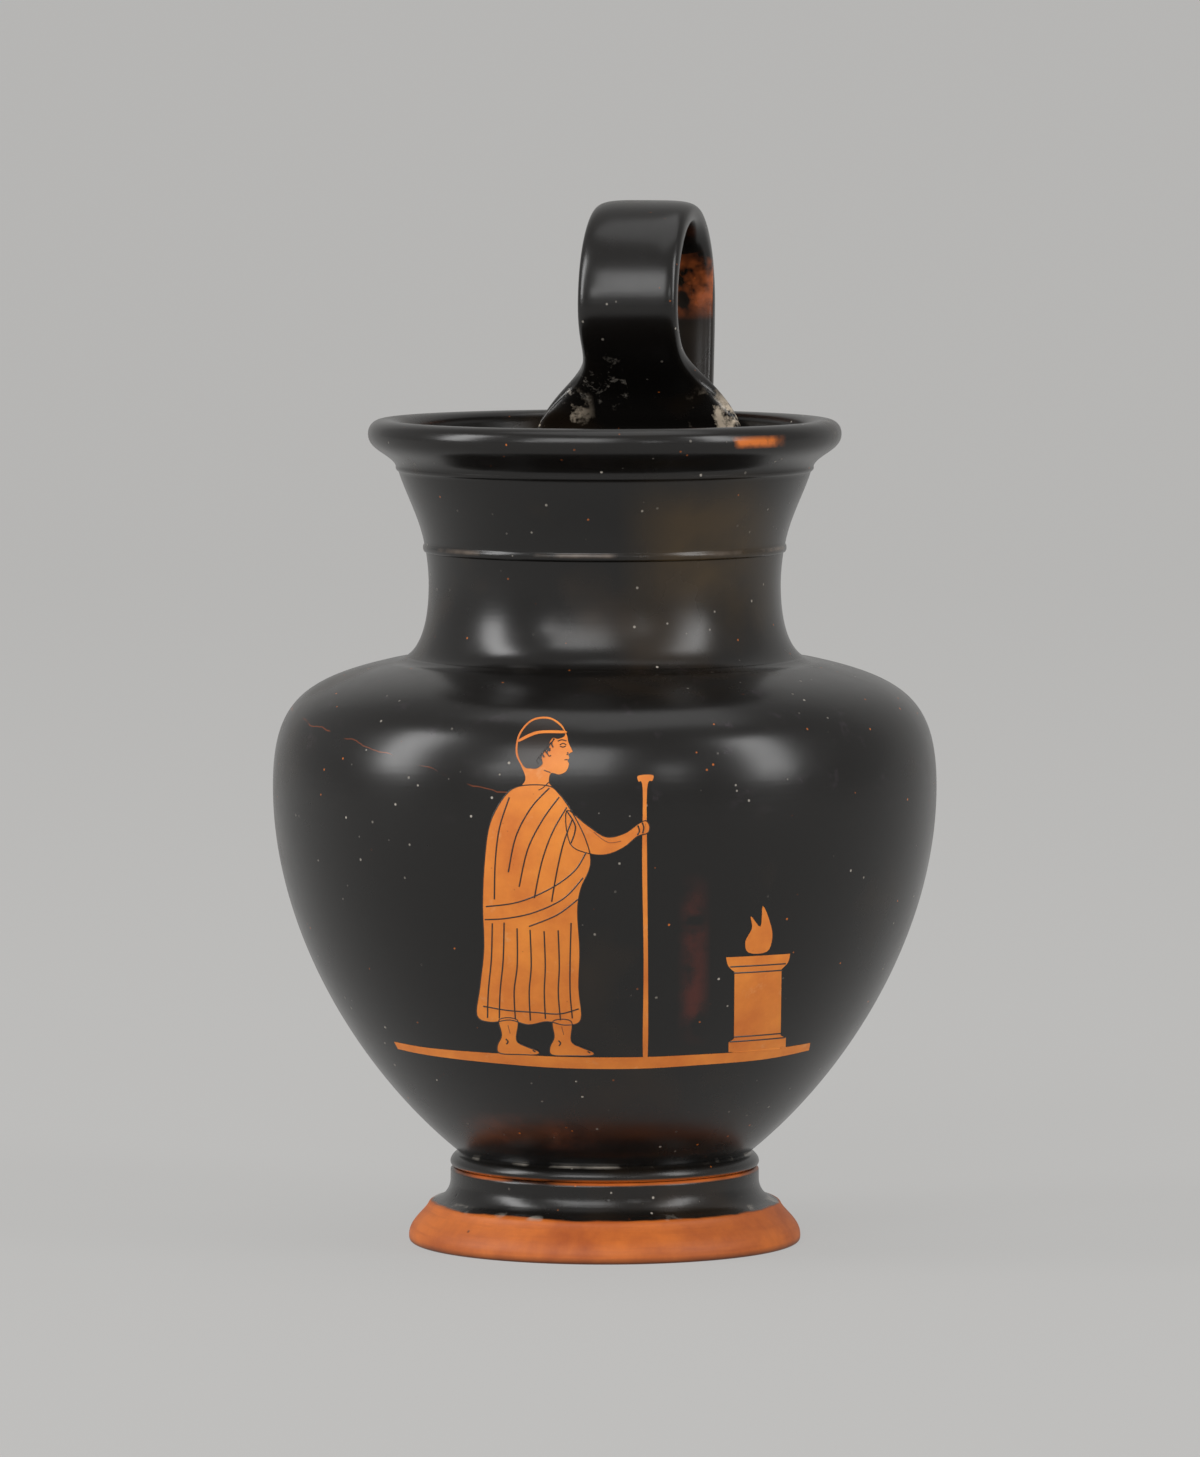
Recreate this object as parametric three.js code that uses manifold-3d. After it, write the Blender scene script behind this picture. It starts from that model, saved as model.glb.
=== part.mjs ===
// A small wheel-thrown clay jug with black gloss, in its leather-hard pieces as a potter joins them:
// foot, ring of clay over the foot joint, body, neck, flaring mouth and a high strap handle.
// Millimetres, +Z up, origin at the centre of the resting ring, handle towards +Y.
import * as THREE from "three";
import { mergeVertices } from "three/addons/utils/BufferGeometryUtils.js";
import Module from "manifold-3d";

const wasm = await Module();
wasm.setup();

// Foot: a disc with a moulded edge, hollow underneath
const footHeight = 14.4;
const footRadius = 37.4;
const footArris = 1.0;
const edgeHeight = 7.3;
const edgeTopRadius = 33.7;
const edgeStep = 1.2;
const stemRadius = 29.45;
const stemHeight = 2.5;
const stemChamfer = 0.4;
const restWidth = 9.5;
const recessDepth = 8.2;
const recessSlope = 5.5;

// Ring of clay pressed over the joint of foot and body
const filletHeight = 3.0;
const filletWidth = 3.0;
const filletTaper = 1.5;

// Body: a deep bowl and a low shoulder
const wall = 3.8;
const bodyRadius = 63.2;
const bowlHeight = 69.6;
const shoulderRise = 24.0;
const shoulderEdgeRadius = 41.2;

// Neck
const neckSeatRise = 0.9;
const neckSeatRadius = 37.7;
const waistRadius = 33.5;
const waistRise = 13.6;
const neckHeight = 19.8;

// Mouth: a flaring cup with a thick round lip
const mouthHeight = 25.3;
const seamWidth = 1.6;
const seamRelief = 0.25;
const flareRise = 17.5;
const flareRadius = 40.3;
const lipRadius = 45.0;
const lipDrop = 2.8;
const crestInset = 3.0;
const lipInnerInset = 6.2;

// Handle: a strap that springs from inside the lip, loops high and drops to the shoulder
const strapWidth = 19.4;
const strapThickness = 5.0;
const loopRadius = 17.6;
const loopReach = 38.1;
const loopRise = 20.6;
const lipRootWidth = 41.0;
const lipRootDepth = 5.5;
const lipRootLength = 26.0;
const shoulderRootWidth = 27.0;
const shoulderRootLength = 22.0;
const shoulderRootReach = 53.6;
const rootSink = 6.0;
const strapSteps = 44;
const strapSides = 16;

// Clearance at a joint where one piece is cut to the shape of the other
const joint = 0.3;
const turns = 48;

const seatZ = footHeight;
const bowlZ = seatZ + filletHeight;
const widestZ = bowlZ + bowlHeight;
const shoulderZ = widestZ + shoulderRise;
const neckZ = shoulderZ + neckSeatRise;
const waistZ = neckZ + waistRise;
const mouthZ = neckZ + neckHeight;
const crestZ = mouthZ + mouthHeight;
const plugRadius = stemRadius - filletWidth;

const point = (radius, height) => new THREE.Vector2(radius, height);

// Points along a cubic curve, both ends included.
function sweep(from, leave, arrive, to, steps) {
  return new THREE.CubicBezierCurve(from, leave, arrive, to).getPoints(steps);
}

// A line of profile points moved sideways by a wall, to the left of its direction.
function inset(points, distance, closed = false) {
  const last = points.length - 1;
  return points.map((here, i) => {
    const before = points[closed ? (i + last) % points.length : Math.max(i - 1, 0)];
    const after = points[closed ? (i + 1) % points.length : Math.min(i + 1, last)];
    const into = here.clone().sub(before).normalize();
    const out = after.clone().sub(here).normalize();
    const along = into.clone().add(out).normalize();
    const miter = Math.max(along.dot(out.lengthSq() ? out : into), 0.5);
    return point(
      Math.max(here.x - (along.y * distance) / miter, 0),
      here.y + (along.x * distance) / miter,
    );
  });
}

// A profile of radius and height, turned round the jug's axis.
function turned(profile) {
  const geometry = new THREE.LatheGeometry([...profile, profile[0]], turns);
  return geometry.rotateX(Math.PI / 2);
}

function solid(geometry) {
  const bare = new THREE.BufferGeometry();
  bare.setAttribute("position", geometry.getAttribute("position"));
  bare.setIndex(geometry.index);
  const merged = mergeVertices(bare, 1e-3);
  return new wasm.Manifold(
    new wasm.Mesh({
      numProp: 3,
      vertProperties: merged.getAttribute("position").array,
      triVerts: new Uint32Array(merged.index.array),
    }),
  );
}

function geometryOf(body) {
  const mesh = body.getMesh();
  const geometry = new THREE.BufferGeometry();
  geometry.setAttribute("position", new THREE.BufferAttribute(mesh.vertProperties, mesh.numProp));
  geometry.setIndex(new THREE.BufferAttribute(mesh.triVerts, 1));
  return geometry;
}

const blackGloss = { color: 0x16130f, roughness: 0.22, metalness: 0 };
const redClay = { color: 0xb5521c, roughness: 0.6, metalness: 0 };
const jug = new THREE.Group();

function place(name, geometry, finish) {
  geometry.computeVertexNormals();
  const mesh = new THREE.Mesh(geometry, new THREE.MeshStandardMaterial(finish));
  mesh.name = name;
  jug.add(mesh);
}

// Foot: flat resting ring, moulded edge, cove and short stem, with a dished recess below.
function footProfile() {
  const restRadius = footRadius - restWidth;
  const coveZ = footHeight - stemHeight;
  const stepRadius = edgeTopRadius - edgeStep;
  const edge = sweep(
    point(footRadius, footArris),
    point(footRadius, footArris + (edgeHeight - footArris) * 0.45),
    point(edgeTopRadius + 0.6, edgeHeight - (edgeHeight - footArris) * 0.3),
    point(edgeTopRadius, edgeHeight),
    6,
  );
  const cove = sweep(
    point(stepRadius, edgeHeight + 0.6),
    point(stepRadius - (stepRadius - stemRadius) * 0.75, edgeHeight + 1.2),
    point(stemRadius, coveZ - 1.6),
    point(stemRadius, coveZ),
    5,
  );
  const recess = sweep(
    point(restRadius - recessSlope, recessDepth),
    point(restRadius - recessSlope * 0.5, recessDepth),
    point(restRadius - recessSlope * 0.2, recessDepth * 0.4),
    point(restRadius, 0),
    4,
  );
  return [
    point(0, recessDepth),
    ...recess,
    point(footRadius - footArris * 0.6, 0),
    ...edge,
    ...cove,
    point(stemRadius, footHeight - stemChamfer),
    point(stemRadius - stemChamfer, footHeight),
    point(0, footHeight),
  ];
}

// Ring over the joint: seated on the foot, under the ledge of the body.
function filletProfile() {
  const inner = plugRadius + joint;
  const outer = stemRadius + 0.1;
  return [
    point(inner, seatZ),
    point(outer - 0.5, seatZ),
    ...sweep(
      point(outer - 0.1, seatZ + 0.4),
      point(outer + 0.2, seatZ + filletHeight * 0.4),
      point(outer - filletTaper * 0.5, seatZ + filletHeight * 0.75),
      point(outer - filletTaper, bowlZ),
      5,
    ),
    point(inner, bowlZ),
  ];
}

// Outside of the bowl, from the ledge over the foot ring up to the widest circle.
function bowlCurve() {
  const base = point(stemRadius - filletTaper, bowlZ);
  const reach = bodyRadius - base.x;
  return sweep(
    base,
    point(base.x + reach * 0.515, bowlZ + bowlHeight * 0.211),
    point(bodyRadius, widestZ - bowlHeight * 0.402),
    point(bodyRadius, widestZ),
    13,
  );
}

// Outside of the shoulder, from the widest circle to the seat of the neck.
function shoulderCurve() {
  const reach = bodyRadius - shoulderEdgeRadius;
  const edge = point(shoulderEdgeRadius, shoulderZ);
  const turn = sweep(
    point(bodyRadius, widestZ),
    point(bodyRadius, widestZ + shoulderRise * 0.651),
    point(edge.x + reach * 0.774, shoulderZ - shoulderRise * 0.155),
    edge,
    10,
  );
  const rise = sweep(
    edge,
    point(edge.x - (edge.x - neckSeatRadius) * 0.38, shoulderZ),
    point(neckSeatRadius + (edge.x - neckSeatRadius) * 0.28, neckZ - neckSeatRise * 0.75),
    point(neckSeatRadius, neckZ),
    2,
  );
  return [...turn.slice(1), ...rise.slice(1)];
}

function bodyOutside() {
  return [...bowlCurve(), ...shoulderCurve()];
}

// Body: outer curve, seat of the neck, inner curve a wall away and a flat floor.
function bodyProfile() {
  const outside = bodyOutside();
  const neckBore = waistRadius - wall;
  const inside = inset(outside, wall).filter((p, i) => i % 2 === 0 && p.x > neckBore + 1);
  inside.reverse();
  const ceiling = inside[0].y;
  const floor = inside[inside.length - 1];
  return [
    point(0, seatZ),
    point(plugRadius, seatZ),
    point(plugRadius, bowlZ),
    ...outside,
    point(neckBore, neckZ),
    point(neckBore, ceiling + (neckZ - ceiling) * 0.25),
    ...inside,
    point(floor.x * 0.8, floor.y - 0.6),
    point(0, floor.y - 0.6),
  ];
}

// Outside of the neck: a tight curve off the shoulder into a slender waist.
function neckCurve() {
  const flare = neckSeatRadius - waistRadius;
  const foot = sweep(
    point(neckSeatRadius, neckZ),
    point(neckSeatRadius - flare * 0.69, neckZ + waistRise * 0.144),
    point(waistRadius, waistZ - waistRise * 0.485),
    point(waistRadius, waistZ),
    8,
  );
  const top = point(waistRadius + seamRelief * 2, mouthZ);
  return [...foot, point(waistRadius + seamRelief * 0.4, (waistZ + mouthZ) / 2), top];
}

function neckProfile() {
  const bore = waistRadius - wall;
  return [point(bore, neckZ), ...neckCurve(), point(bore, mouthZ)];
}

// Mouth: a seam band at the joint, a flaring wall, a fine ridge and the round lip.
function mouthProfile() {
  const bore = waistRadius - wall;
  const bandRadius = waistRadius + seamRelief * 3.4;
  const flareZ = mouthZ + flareRise;
  const lipZ = crestZ - lipDrop;
  const flare = sweep(
    point(bandRadius, mouthZ + seamWidth),
    point(bandRadius + 0.9, mouthZ + seamWidth + 5),
    point(flareRadius - (flareRadius - bandRadius) * 0.45, flareZ - flareRise * 0.38),
    point(flareRadius, flareZ),
    8,
  );
  const underLip = sweep(
    flare[flare.length - 1],
    point(flareRadius + (lipRadius - flareRadius) * 0.42, flareZ + 1.2),
    point(lipRadius, lipZ - 2.6),
    point(lipRadius, lipZ),
    5,
  );
  const overLip = sweep(
    point(lipRadius, lipZ),
    point(lipRadius, lipZ + lipDrop * 0.75),
    point(lipRadius - crestInset * 0.45, crestZ),
    point(lipRadius - crestInset, crestZ),
    5,
  );
  const intoCup = sweep(
    point(lipRadius - crestInset, crestZ),
    point(lipRadius - lipInnerInset + 0.9, crestZ),
    point(lipRadius - lipInnerInset, crestZ - 1.2),
    point(lipRadius - lipInnerInset - 0.4, crestZ - 2.6),
    4,
  );
  const inside = inset(flare, wall).filter((p, i) => i % 2 === 0);
  inside.reverse();
  return [
    point(bore, mouthZ),
    point(waistRadius + seamRelief * 2, mouthZ),
    point(bandRadius + seamRelief, mouthZ + seamRelief),
    point(bandRadius + seamRelief, mouthZ + seamWidth - seamRelief),
    ...flare,
    ...underLip.slice(1),
    ...overLip.slice(1),
    ...intoCup.slice(1),
    ...inside,
  ];
}

// Centre line of the strap, in the plane of the axis: y outwards, z up.
function strapLine() {
  const root = point(lipRadius - lipInnerInset - 1.9, crestZ - lipRootDepth);
  const loop = point(loopReach, crestZ + loopRise);
  const front = point(loop.x - loopRadius, loop.y);
  const back = point(loop.x + loopRadius, loop.y);
  const end = point(shoulderRootReach, widestZ + shoulderRise * 0.8 - rootSink);
  const line = new THREE.CurvePath();
  line.add(
    new THREE.CubicBezierCurve(
      root,
      point(root.x + 2.6, crestZ + 6),
      point(front.x, loop.y - 10.6),
      front,
    ),
  );
  line.add(new THREE.EllipseCurve(loop.x, loop.y, loopRadius, loopRadius, Math.PI, 0, true));
  line.add(
    new THREE.CubicBezierCurve(
      back,
      point(back.x, loop.y - 13.6),
      point(shoulderRootReach - 4.1, crestZ - 11),
      end,
    ),
  );
  return line;
}

// Strap: a rounded flat section carried along the line, wide and thin where it is pressed on.
function strapSolid() {
  const line = strapLine();
  const length = line.getLength();
  const blend = (d, span) => Math.pow(1 - THREE.MathUtils.smoothstep(d, 0, span), 1.6);
  const positions = [];
  for (let i = 0; i <= strapSteps; i += 1) {
    const u = i / strapSteps;
    const centre = line.getPointAt(u);
    const along = line.getTangentAt(u);
    const fromLip = u * length;
    const fromShoulder = length - fromLip;
    const halfWidth =
      strapWidth / 2 +
      ((lipRootWidth - strapWidth) / 2) * blend(fromLip, lipRootLength) +
      ((shoulderRootWidth - strapWidth) / 2) * blend(fromShoulder, shoulderRootLength);
    const thin = 0.5 + 0.5 * THREE.MathUtils.smoothstep(fromLip, 0, 6);
    const swell = 1 + 0.25 * blend(fromShoulder, shoulderRootLength);
    const halfThickness = (strapThickness / 2) * thin * swell;
    const wrap = 1 - THREE.MathUtils.smoothstep(fromLip, 5, 17);
    for (let k = 0; k < strapSides; k += 1) {
      const angle = (2 * Math.PI * k) / strapSides;
      const c = Math.cos(angle);
      const s = Math.sin(angle);
      const across = halfWidth * Math.sign(c) * Math.pow(Math.abs(c), 0.55);
      const off = halfThickness * Math.sign(s) * Math.pow(Math.abs(s), 0.55);
      const bend = wrap * (centre.x - Math.sqrt(Math.max(centre.x ** 2 - across ** 2, 1)));
      positions.push(across, centre.x + along.y * off - bend, centre.y - along.x * off);
    }
  }
  const index = [];
  const ring = (i, k) => i * strapSides + (k % strapSides);
  for (let i = 0; i < strapSteps; i += 1) {
    for (let k = 0; k < strapSides; k += 1) {
      index.push(ring(i, k), ring(i, k + 1), ring(i + 1, k));
      index.push(ring(i, k + 1), ring(i + 1, k + 1), ring(i + 1, k));
    }
  }
  for (let k = 1; k < strapSides - 1; k += 1) {
    index.push(ring(0, 0), ring(0, k + 1), ring(0, k));
    index.push(ring(strapSteps, 0), ring(strapSteps, k), ring(strapSteps, k + 1));
  }
  const geometry = new THREE.BufferGeometry();
  geometry.setAttribute("position", new THREE.Float32BufferAttribute(positions, 3));
  geometry.setIndex(index);
  const strap = solid(geometry);
  if (strap.volume() > 0) return strap;
  geometry.setIndex(index.reverse());
  return solid(geometry);
}

// Handle: the strap cut back to the lip and to the shoulder that it is luted to.
function handleGeometry() {
  const filled = [point(0, bowlZ), ...bodyOutside(), point(0, neckZ)];
  const shoulder = solid(turned(inset(filled, -joint, true)));
  const lip = solid(turned(inset(mouthProfile(), -joint, true)));
  return geometryOf(strapSolid().subtract(shoulder).subtract(lip));
}

place("foot", turned(footProfile()), redClay);
place("foot_fillet", turned(filletProfile()), blackGloss);
place("body", turned(bodyProfile()), blackGloss);
place("neck", turned(neckProfile()), blackGloss);
place("mouth", turned(mouthProfile()), blackGloss);
place("handle", handleGeometry(), blackGloss);

export default jug;
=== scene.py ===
import math

import bmesh
import bpy
import numpy as np
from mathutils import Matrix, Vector


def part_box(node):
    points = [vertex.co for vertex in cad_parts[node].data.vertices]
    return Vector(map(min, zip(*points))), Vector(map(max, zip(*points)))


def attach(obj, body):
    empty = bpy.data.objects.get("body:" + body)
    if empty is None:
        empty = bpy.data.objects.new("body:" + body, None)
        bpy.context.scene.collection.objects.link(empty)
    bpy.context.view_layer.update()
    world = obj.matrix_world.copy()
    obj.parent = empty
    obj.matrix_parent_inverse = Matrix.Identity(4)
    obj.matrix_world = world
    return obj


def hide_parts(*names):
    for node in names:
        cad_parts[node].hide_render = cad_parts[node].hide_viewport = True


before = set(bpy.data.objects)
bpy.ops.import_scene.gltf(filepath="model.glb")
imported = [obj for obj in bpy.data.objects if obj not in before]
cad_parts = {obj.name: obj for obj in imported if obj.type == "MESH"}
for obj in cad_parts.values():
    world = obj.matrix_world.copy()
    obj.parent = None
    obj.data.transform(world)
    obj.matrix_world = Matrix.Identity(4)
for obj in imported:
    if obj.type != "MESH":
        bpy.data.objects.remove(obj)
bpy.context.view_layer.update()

# Foot
# A thrown disc foot, recessed underneath, with a moulded edge and a short stem.
# The edge keeps the orange clay under a thin wash; the stem and cove are black gloss.
MM = 0.001
foot_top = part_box("foot")[1][2] / MM
foot_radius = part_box("foot")[1][0] / MM
stem_radius = 29.45
edge_top_radius = 33.7
rest_radius = foot_radius - 9.5
TURN_STEPS = 240


def cubic(start, leave, arrive, end, steps):
    t = np.linspace(0, 1, steps + 1)[:, None]
    a, b, c, d = (np.array(p, float) for p in (start, leave, arrive, end))
    return ((1 - t) ** 3 * a + 3 * (1 - t) ** 2 * t * b + 3 * (1 - t) * t ** 2 * c + t ** 3 * d).tolist()


def fresh_object(name):
    bpy.context.object.name = name
    bpy.context.object.data.name = name
    return bpy.context.object


def deselect():
    if bpy.context.mode != "OBJECT":
        bpy.ops.object.mode_set(mode="OBJECT")
    bpy.ops.object.select_all(action="DESELECT")


def thrown(name, profile, closed=True):
    """Draws a profile point by point and spins it round the wheel's axis."""
    deselect()
    bpy.ops.mesh.primitive_plane_add(size=1 * MM)
    piece = fresh_object(name)
    bpy.ops.object.mode_set(mode="EDIT")
    bpy.ops.mesh.select_all(action="SELECT")
    bpy.ops.mesh.merge(type="CENTER")
    here = Vector((profile[0][0] * MM, 0, profile[0][1] * MM))
    bpy.ops.transform.translate(value=here)
    rest = profile[1:] + ([profile[0]] if closed else [])
    for radius, height in rest:
        there = Vector((radius * MM, 0, height * MM))
        bpy.ops.mesh.extrude_region_move(TRANSFORM_OT_translate={"value": there - here})
        here = there
    bpy.ops.mesh.select_all(action="SELECT")
    bpy.ops.mesh.remove_doubles(threshold=1e-7)
    bpy.ops.mesh.select_all(action="SELECT")
    bpy.ops.mesh.spin(steps=TURN_STEPS, angle=2 * math.pi, center=(0, 0, 0), axis=(0, 0, 1))
    bpy.ops.mesh.select_all(action="SELECT")
    bpy.ops.mesh.remove_doubles(threshold=2e-6)
    bpy.ops.mesh.select_all(action="SELECT")
    bpy.ops.mesh.normals_make_consistent(inside=False)
    bpy.ops.object.mode_set(mode="OBJECT")
    bpy.ops.object.shade_smooth_by_angle(angle=math.radians(40))
    return piece


class Wire:
    """A node's output, so that an expression on it adds the Math nodes."""

    def __init__(self, mat, socket):
        self.mat, self.socket = mat, socket

    def math(self, operation, *others):
        return self.mat.node("ShaderNodeMath", {"operation": operation}, self, *others)

    def __add__(self, other): return self.math("ADD", other)
    def __radd__(self, other): return self.math("ADD", other)
    def __sub__(self, other): return self.math("SUBTRACT", other)
    def __mul__(self, other): return self.math("MULTIPLY", other)
    def __rmul__(self, other): return self.math("MULTIPLY", other)
    def __truediv__(self, other): return self.math("DIVIDE", other)
    def __lt__(self, other): return self.math("LESS_THAN", other)
    def __gt__(self, other): return self.math("GREATER_THAN", other)

    def __rsub__(self, other):
        return self.mat.node("ShaderNodeMath", {"operation": "SUBTRACT"}, other, self)

    def clamp(self):
        return self.math("MAXIMUM", 0.0).math("MINIMUM", 1.0)

    def ramp(self, low, high):
        return ((self - low) / (high - low)).clamp()


class Finish:
    """A material with one Principled shader and one method that makes any other node."""

    def __init__(self, name, color, roughness):
        self.material = bpy.data.materials.new(name)
        self.material.use_nodes = True
        self.tree = self.material.node_tree
        self.shader = self.tree.nodes["Principled BSDF"]
        self.shader.inputs["Base Color"].default_value = (*color, 1)
        self.shader.inputs["Roughness"].default_value = roughness
        self.place = Wire(self, self.tree.nodes.new("ShaderNodeTexCoord").outputs["Object"])
        split = self.tree.nodes.new("ShaderNodeSeparateXYZ")
        self.tree.links.new(self.place.socket, split.inputs[0])
        self.x, self.y, self.z = (Wire(self, split.outputs[i]) for i in range(3))

    def put(self, value, socket):
        if isinstance(value, Wire):
            self.tree.links.new(value.socket, socket)
        elif value is not None:
            socket.default_value = value

    def node(self, kind, settings, *values, output=0):
        made = self.tree.nodes.new(kind)
        for key, value in settings.items():
            setattr(made, key, value)
        for value, socket in zip(values, [s for s in made.inputs if s.enabled]):
            self.put(value, socket)
        return Wire(self, made.outputs[output])

    def noise(self, scale, detail=4.0, roughness=0.5, place=None):
        return self.node("ShaderNodeTexNoise", {}, place or self.place, scale, detail, roughness)

    def specks(self, spacing, size):
        """Round spots a few to the square centimetre, as a mask."""
        cell = self.node("ShaderNodeTexVoronoi", {"feature": "F1"}, self.place, 1 / spacing)
        return 1 - cell.ramp(size / spacing * 0.6, size / spacing)

    def mix(self, factor, first, second):
        made = self.tree.nodes.new("ShaderNodeMix")
        made.data_type = "RGBA"
        self.put(factor, made.inputs[0])
        for value, socket in ((first, made.inputs[6]), (second, made.inputs[7])):
            self.put(value if isinstance(value, Wire) else (*value, 1), socket)
        return Wire(self, made.outputs[2])

    def stretch(self, scale):
        made = self.tree.nodes.new("ShaderNodeMapping")
        made.inputs["Scale"].default_value = scale
        self.tree.links.new(self.place.socket, made.inputs[0])
        return Wire(self, made.outputs[0])

    def bump(self, height, depth, strength=1.0):
        made = self.tree.nodes.new("ShaderNodeBump")
        made.inputs["Strength"].default_value = strength
        made.inputs["Distance"].default_value = depth
        self.put(height, made.inputs["Height"])
        self.tree.links.new(made.outputs[0], self.shader.inputs["Normal"])

    def feed(self, name, value):
        self.put(value, self.shader.inputs[name])


CLAY = (0.66, 0.165, 0.020)
CLAY_DARK = (0.38, 0.075, 0.010)
BLACK = (0.006, 0.0052, 0.0045)
BLACK_BROWN = (0.030, 0.017, 0.007)
CHALK = (0.55, 0.50, 0.43)


def gloss_color(mat, brown=1.0):
    """Black slip, thinner and browner in patches, with dust in its pinholes."""
    patches = mat.noise(28, 3, 0.6).ramp(0.56, 0.74) * brown
    color = mat.mix(patches * 0.75, BLACK, BLACK_BROWN)
    spread = mat.noise(45, 2).ramp(0.5, 0.62)
    pale = mat.specks(3.4 * MM, 0.30 * MM) * spread
    warm = mat.specks(4.6 * MM, 0.26 * MM) * (1 - spread)
    color = mat.mix(warm * 0.8, color, CLAY)
    return mat.mix(pale * 0.75, color, CHALK), patches, pale


def gloss_surface(mat, patches, pale):
    """Wheel marks, a faint orange-peel and a rougher skin where the slip is thin."""
    smear = mat.noise(60, 5, 0.65)
    mat.feed("Roughness", 0.17 + smear * 0.16 + patches * 0.10 + pale * 0.3)
    wheel = mat.noise(1.0, 3, 0.5, mat.stretch((14, 14, 520)))
    skin = mat.noise(900, 3, 0.6)
    mat.bump(wheel * 0.6 + skin * 0.25 - pale * 0.8, 0.05 * MM, 0.6)


def orange_mask(mat, height, wave):
    edge = mat.noise(70, 3, 0.5) * wave - wave * 0.5
    return 1 - (mat.z + edge).ramp((height - 0.12) * MM, (height + 0.12) * MM)


def foot_finish():
    mat = Finish("foot_finish", CLAY, 0.5)
    black, patches, pale = gloss_color(mat)
    tone = mat.noise(95, 5, 0.6)
    clay = mat.mix(tone.ramp(0.35, 0.75), CLAY, CLAY_DARK)
    streak = mat.noise(1.0, 4, 0.6, mat.stretch((60, 60, 900))).ramp(0.5, 0.75)
    clay = mat.mix(streak * 0.5, clay, CLAY_DARK)
    chips = mat.specks(7 * MM, 0.55 * MM)
    clay = mat.mix(chips * 0.85, clay, (0.03, 0.012, 0.006))
    # The clay is painted darker towards its bottom edge, over the lowest 1.3 mm where the foot turns
    # under.
    darker_bottom = 1 - mat.z.ramp(0.2 * MM, 1.3 * MM)
    clay = mat.mix(darker_bottom * 0.75, clay, (0.045, 0.018, 0.009))
    bare = orange_mask(mat, 7.75, 1.3 * MM)
    seam = (mat.z - 14.15 * MM).math("ABSOLUTE")
    crack = (1 - seam.ramp(0.12 * MM, 0.4 * MM)) * mat.noise(40, 3).ramp(0.44, 0.6)
    cove = 1 - (mat.z - 8.0 * MM).math("ABSOLUTE").ramp(0.3 * MM, 0.7 * MM)
    dust = cove * mat.noise(160, 4).ramp(0.58, 0.68)
    mask = bare.math("MAXIMUM", crack * 0.9)
    color = mat.mix(mask, black, clay)
    mat.feed("Base Color", mat.mix(dust * 0.5, color, CHALK))
    mat.feed("Roughness", mask * 0.28 + 0.2 + mat.noise(120, 4) * 0.14)
    wheel = mat.noise(1.0, 3, 0.5, mat.stretch((20, 20, 900)))
    mat.bump(wheel + mat.noise(700, 4) * 0.4 - chips * 1.5, 0.08 * MM, 0.7)
    return mat.material


foot_profile = [[0, 8.2]]
foot_profile += cubic((22.4, 8.2), (25.1, 8.2), (26.8, 3.3), (rest_radius, 0), 10)
foot_profile += [[rest_radius + 0.3, 0], [foot_radius - 0.6, 0]]
foot_profile += cubic((foot_radius - 0.5, 0.04), (foot_radius - 0.1, 0.2),
                      (foot_radius, 0.5), (foot_radius, 1.0), 5)
foot_profile += cubic((foot_radius, 1.2), (foot_radius, 3.8), (edge_top_radius + 0.8, 5.4),
                      (edge_top_radius, 7.1), 14)
foot_profile += cubic((edge_top_radius - 0.1, 7.3), (edge_top_radius - 0.3, 7.6),
                      (edge_top_radius - 0.7, 7.75), (edge_top_radius - 1.1, 7.8), 4)
foot_profile += cubic((32.4, 7.9), (30.4, 8.5), (29.5, 10.2), (stem_radius, 11.9), 12)
foot_profile += [[stem_radius, 12.4], [stem_radius, 13.0], [stem_radius, 13.6]]
foot_profile += cubic((stem_radius - 0.02, 13.8), (stem_radius - 0.1, 14.0),
                      (29.1, 14.3), (28.8, foot_top), 4)
foot_profile += [[0, foot_top]]
foot = thrown("foot_dressed", foot_profile, closed=False)
foot.data.materials.append(foot_finish())
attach(foot, "root")
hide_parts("foot")


# Ring over the foot joint
# A thin roll of clay pressed over the joint of foot and body and smoothed on the wheel.
# It is black gloss, with clay showing in the groove below it.
def ring_finish():
    mat = Finish("ring_finish", BLACK, 0.22)
    color, patches, pale = gloss_color(mat)
    low = 1 - mat.z.ramp(14.6 * MM, 15.1 * MM)
    high = mat.z.ramp(16.9 * MM, 17.3 * MM)
    worn = low * mat.noise(45, 4).ramp(0.42, 0.56)
    color = mat.mix(worn * 0.9, color, CLAY)
    dust = high * mat.noise(110, 4).ramp(0.5, 0.62)
    mat.feed("Base Color", mat.mix(dust * 0.55, color, CHALK))
    gloss_surface(mat, patches, pale)
    return mat.material


ring_low, ring_high = (corner[2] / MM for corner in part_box("foot_fillet"))
ring_profile = [[26.6, ring_low], [28.6, ring_low + 0.02]]
ring_profile += cubic((28.9, ring_low + 0.1), (29.9, ring_low + 0.5), (29.5, ring_low + 1.7),
                      (28.6, ring_low + 2.4), 14)
ring_profile += cubic((28.4, ring_low + 2.5), (28.2, ring_low + 2.65), (28.05, ring_high - 0.1),
                      (27.95, ring_high), 4)
ring_profile += [[26.6, ring_high]]
ring = thrown("foot_fillet_dressed", ring_profile)
ring.data.materials.append(ring_finish())
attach(ring, "root")
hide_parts("foot_fillet")

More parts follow.
